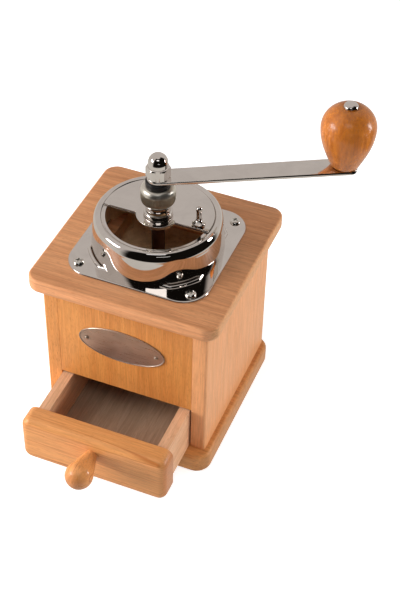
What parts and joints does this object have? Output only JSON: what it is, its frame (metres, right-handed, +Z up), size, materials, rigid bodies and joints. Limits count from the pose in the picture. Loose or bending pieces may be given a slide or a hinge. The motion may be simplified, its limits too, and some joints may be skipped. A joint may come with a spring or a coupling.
{
  "type": "burr coffee grinder",
  "caption": "Hand-cranked burr coffee mill: wooden box with a drawer, a round metal hopper with a turning half cover, and a crank with a pear-shaped wooden handle.",
  "frame": {"origin": "on the plane the base stands on, under the crank's axis", "axes": "+Z up along the crank's axis; the drawer opens towards -Y; +X to the right seen from the front"},
  "size_m": [0.1753, 0.1988, 0.2234],
  "materials": {
    "beech_box": "oiled beech, upright grain",
    "beech_plates": "oiled beech, rounded edges",
    "beech_drawer_front": "lacquered beech",
    "beech_drawer_sides": "plain beech",
    "drawer_panel": "thin board, dusty",
    "handle_wood": "turned and glossy",
    "nickel": "polished nickel plating",
    "screw_steel": "zinc plated",
    "bowl_lacquer": "brown lacquer",
    "burr_steel": "hardened steel",
    "shaft_steel": "dark turned steel",
    "bronze": "turned",
    "black_rubber": "glossy black",
    "plate_copper": "satin, worn",
    "pin_dark": "dark pins"
  },
  "bodies": {
    "housing": {"base_plate": "beech_plates", "left_side_board": "beech_box", "right_side_board": "beech_box", "front_panel": "beech_box", "back_panel": "beech_box", "top_plate": "beech_plates", "base_screws": "screw_steel", "mounting_plate": "nickel", "plate_screws": "screw_steel", "hopper_drum": "nickel", "fixed_cover": "nickel", "hopper_bowl": "bowl_lacquer", "bearing_bush": "nickel", "outer_burr": "burr_steel", "bearing_bridge": "shaft_steel", "bridge_screws": "screw_steel", "nameplate": "plate_copper", "nameplate_pins": "pin_dark"},
    "cover": {"rotating_cover": "nickel", "cover_knob": "nickel"},
    "spinner": {"thrust_washer": "bronze"},
    "adjuster": {"adjusting_nut": "nickel"},
    "spindle": {"drive_shaft": "shaft_steel", "inner_burr": "burr_steel", "burr_nut": "burr_steel", "lock_ring": "black_rubber", "crank_arm": "nickel", "cap_nut": "nickel", "handle_washer": "nickel", "handle_rivet": "nickel"},
    "handle": {"wooden_handle": "handle_wood"},
    "drawer": {"drawer_front": "beech_drawer_front", "drawer_left_side": "beech_drawer_sides", "drawer_right_side": "beech_drawer_sides", "drawer_back": "beech_drawer_sides", "drawer_bottom": "drawer_panel", "drawer_knob": "beech_drawer_front", "knob_screw": "screw_steel"}
  },
  "joints": [
    {"name": "crank_spin", "type": "hinge", "parent": "housing", "child": "spinner", "pos_m": [0, 0, 0.16], "axis": [0, 0, 1], "continuous": true},
    {"name": "adjust_turn", "type": "hinge", "parent": "spinner", "child": "adjuster", "pos_m": [0, 0, 0.166], "axis": [0, 0, 1], "range_deg": [-180, 180]},
    {"name": "burr_lift", "type": "slide", "parent": "spinner", "child": "spindle", "axis": [0, 0, 1], "range_m": [-0.0005, 0.0005], "deforming": ["lock_ring"]},
    {"name": "handle_spin", "type": "hinge", "parent": "spindle", "child": "handle", "pos_m": [0.09743, 0.05401, 0.2], "axis": [0, 0, 1], "continuous": true},
    {"name": "cover_turn", "type": "hinge", "parent": "housing", "child": "cover", "pos_m": [0, 0, 0.15], "axis": [0, 0, 1], "continuous": true},
    {"name": "drawer_slide", "type": "slide", "parent": "housing", "child": "drawer", "axis": [0, -1, 0], "range_m": [-0.0361, 0.045]}
  ],
  "couplings": [
    {"joint": "adjust_turn", "follows": "burr_lift", "rad_per_m": -6283.2}
  ]
}
